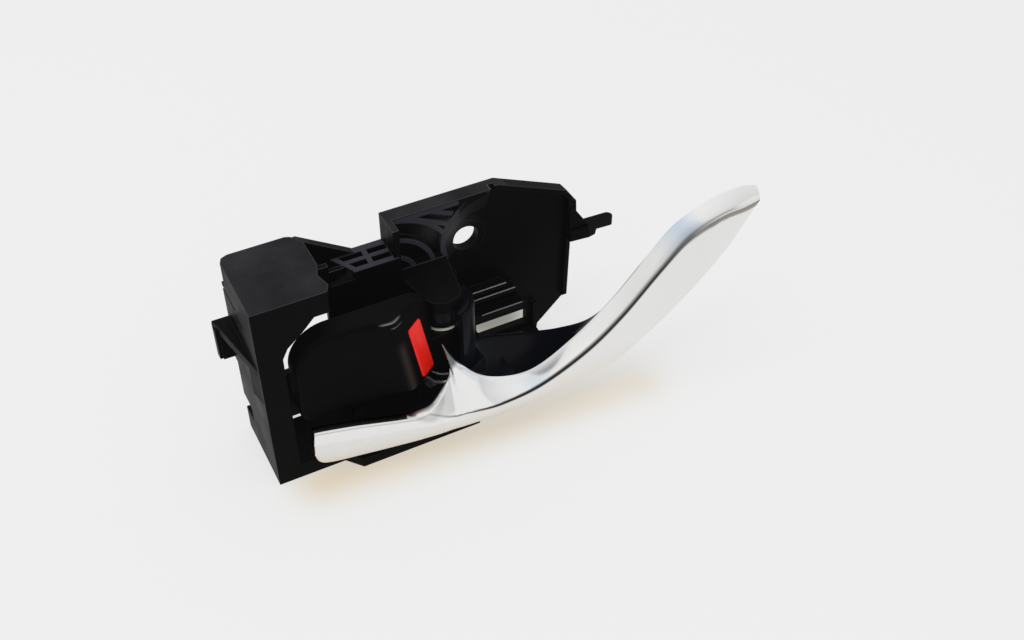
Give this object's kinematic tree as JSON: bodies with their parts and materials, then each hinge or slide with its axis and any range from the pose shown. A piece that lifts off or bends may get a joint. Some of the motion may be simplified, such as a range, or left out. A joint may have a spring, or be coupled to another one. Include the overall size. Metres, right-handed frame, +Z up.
{
  "type": "car interior door handle",
  "caption": "Car interior door handle: black housing with screw hole and ribs, sprung chrome pull lever and a lock knob with a red insert on one upright pin.",
  "frame": {"origin": "Centre of the screw hole on the back face of the housing, which lies against the door.", "axes": "X runs along the handle from the left block to the free end of the lever, +Y points into the door along the screw, +Z is up and parallel to the pivot pin."},
  "size_m": [0.151, 0.0372, 0.063],
  "materials": {
    "housing_black": "grained black moulding",
    "knob_black": "fine satin black moulding",
    "core_gloss": "polished black with a blue cast",
    "chrome_plate": "bright plated plastic",
    "steel_bright": "drawn steel",
    "bush_brass": "sintered bearing metal",
    "washer_nylon": "natural nylon",
    "buffer_rubber": "soft black rubber",
    "indicator_red": "signal red"
  },
  "bodies": {
    "housing_body": {"housing": "housing_black", "pivot_pin": "steel_bright", "pin_clip": "steel_bright", "lever_return_spring": "steel_bright", "knob_detent_spring": "steel_bright", "lever_rest_pad": "buffer_rubber", "lever_stop_pad": "buffer_rubber", "knob_rest_pad": "buffer_rubber", "thrust_washer_lower": "washer_nylon", "thrust_washer_upper": "washer_nylon"},
    "lever": {"pull_lever": "chrome_plate", "lever_core": "core_gloss", "lever_bush_lower": "bush_brass", "lever_bush_upper": "bush_brass", "cover_screws": "steel_bright"},
    "knob": {"knob_carrier": "housing_black", "lock_knob": "knob_black", "lock_indicator": "indicator_red"}
  },
  "joints": [
    {"name": "pull", "type": "hinge", "parent": "housing_body", "child": "lever", "pos_m": [-0.0145, -0.017, -0.036], "axis": [0, 0, -1], "range_deg": [0, 16], "stiffness_Nm_per_rad": 0.35, "springref_deg": -11.46, "deforming": ["lever_return_spring"]},
    {"name": "lock", "type": "hinge", "parent": "housing_body", "child": "knob", "pos_m": [-0.0145, -0.017, -0.016], "axis": [0, 0, -1], "range_deg": [0, 11], "deforming": ["knob_detent_spring"]}
  ]
}
